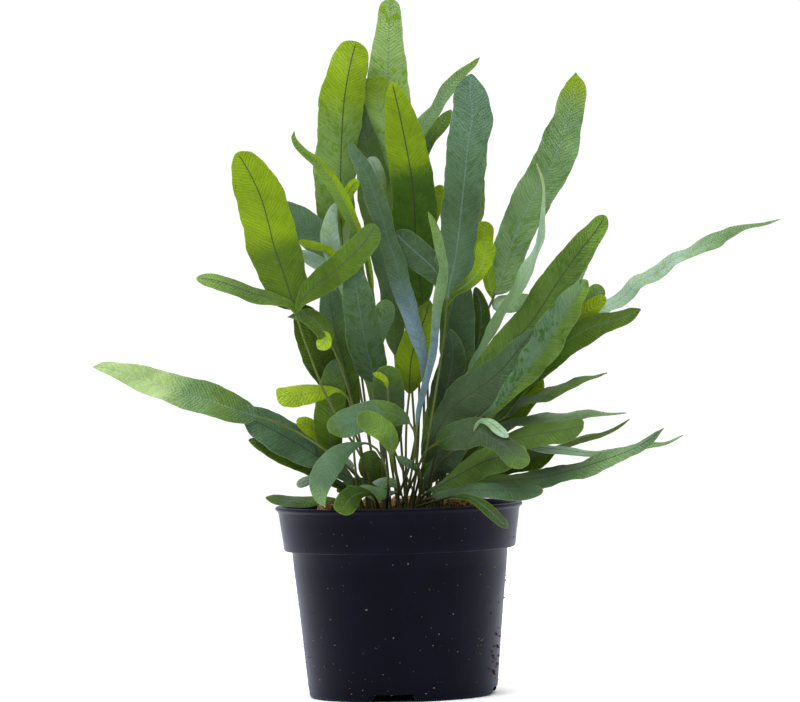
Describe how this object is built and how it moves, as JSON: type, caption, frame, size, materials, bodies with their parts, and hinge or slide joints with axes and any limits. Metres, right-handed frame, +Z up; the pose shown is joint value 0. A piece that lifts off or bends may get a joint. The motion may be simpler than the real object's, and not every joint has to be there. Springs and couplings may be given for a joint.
{
  "type": "potted blue star fern",
  "caption": "Small fern with blue-green strap and lobed fronds on thin stalks, growing in a round black nursery pot.",
  "frame": {"origin": "centre of the pot's foot at ground level", "axes": "+Z up along the pot's axis, -Y towards the side the picture shows, +X to its right"},
  "size_m": [0.3331, 0.1968, 0.341],
  "materials": {
    "black_polypropylene": "satin black moulded plastic",
    "potting_mix": "dark moist peat with bark bits",
    "rhizome_scales": "golden brown scaly stem",
    "frond_leaf": "waxy matt leaf, blue-green to yellow-green"
  },
  "bodies": {
    "root": {"nursery_pot": "black_polypropylene", "potting_soil": "potting_mix", "rhizome": "rhizome_scales", "frond_tall_back": "frond_leaf", "frond_left_tall": "frond_leaf", "frond_dark_behind": "frond_leaf", "frond_centre_front": "frond_leaf", "frond_pale_narrow": "frond_leaf", "frond_blue_lobed": "frond_leaf", "frond_right_tall": "frond_leaf", "frond_edge_on": "frond_leaf", "frond_blue_strap": "frond_leaf", "frond_narrow_twisted": "frond_leaf", "frond_hooked_left": "frond_leaf", "frond_left_lobed": "frond_leaf", "frond_curl_left": "frond_leaf", "frond_yellow_left": "frond_leaf", "frond_vertical_left": "frond_leaf", "frond_longest_left": "frond_leaf", "frond_slate_left": "frond_leaf", "frond_dark_left_low": "frond_leaf", "frond_drooping_left": "frond_leaf", "frond_over_rim_left": "frond_leaf", "frond_blue_left_back": "frond_leaf", "frond_pale_upright": "frond_leaf", "frond_dark_left": "frond_leaf", "frond_large_blue": "frond_leaf", "frond_right_strap": "frond_leaf", "frond_slate_low": "frond_leaf", "frond_wavy_right": "frond_leaf", "frond_yellow_pair": "frond_leaf", "frond_far_right": "frond_leaf", "frond_olive_right": "frond_leaf", "frond_wavy_low": "frond_leaf", "frond_olive_behind": "frond_leaf", "frond_folded_front": "frond_leaf", "frond_rounded_right": "frond_leaf", "frond_dark_olive": "frond_leaf", "frond_long_low_right": "frond_leaf", "frond_dark_back": "frond_leaf", "frond_teal_back": "frond_leaf", "frond_olive_centre": "frond_leaf", "frond_slate_arch": "frond_leaf", "frond_young": "frond_leaf", "frond_arch_left": "frond_leaf", "frond_lime_front": "frond_leaf", "frond_over_rim_front": "frond_leaf", "frond_pale_low": "frond_leaf", "frond_over_rim_right": "frond_leaf", "frond_low_right_front": "frond_leaf", "frond_low_middle": "frond_leaf", "frond_dark_slate_low": "frond_leaf", "frond_small_blue": "frond_leaf", "frond_olive_low": "frond_leaf", "frond_back_left": "frond_leaf", "frond_back_right": "frond_leaf", "frond_back_low_left": "frond_leaf", "frond_back_low_right": "frond_leaf", "frond_back_centre": "frond_leaf", "frond_back_tall": "frond_leaf"}
  },
  "joints": []
}
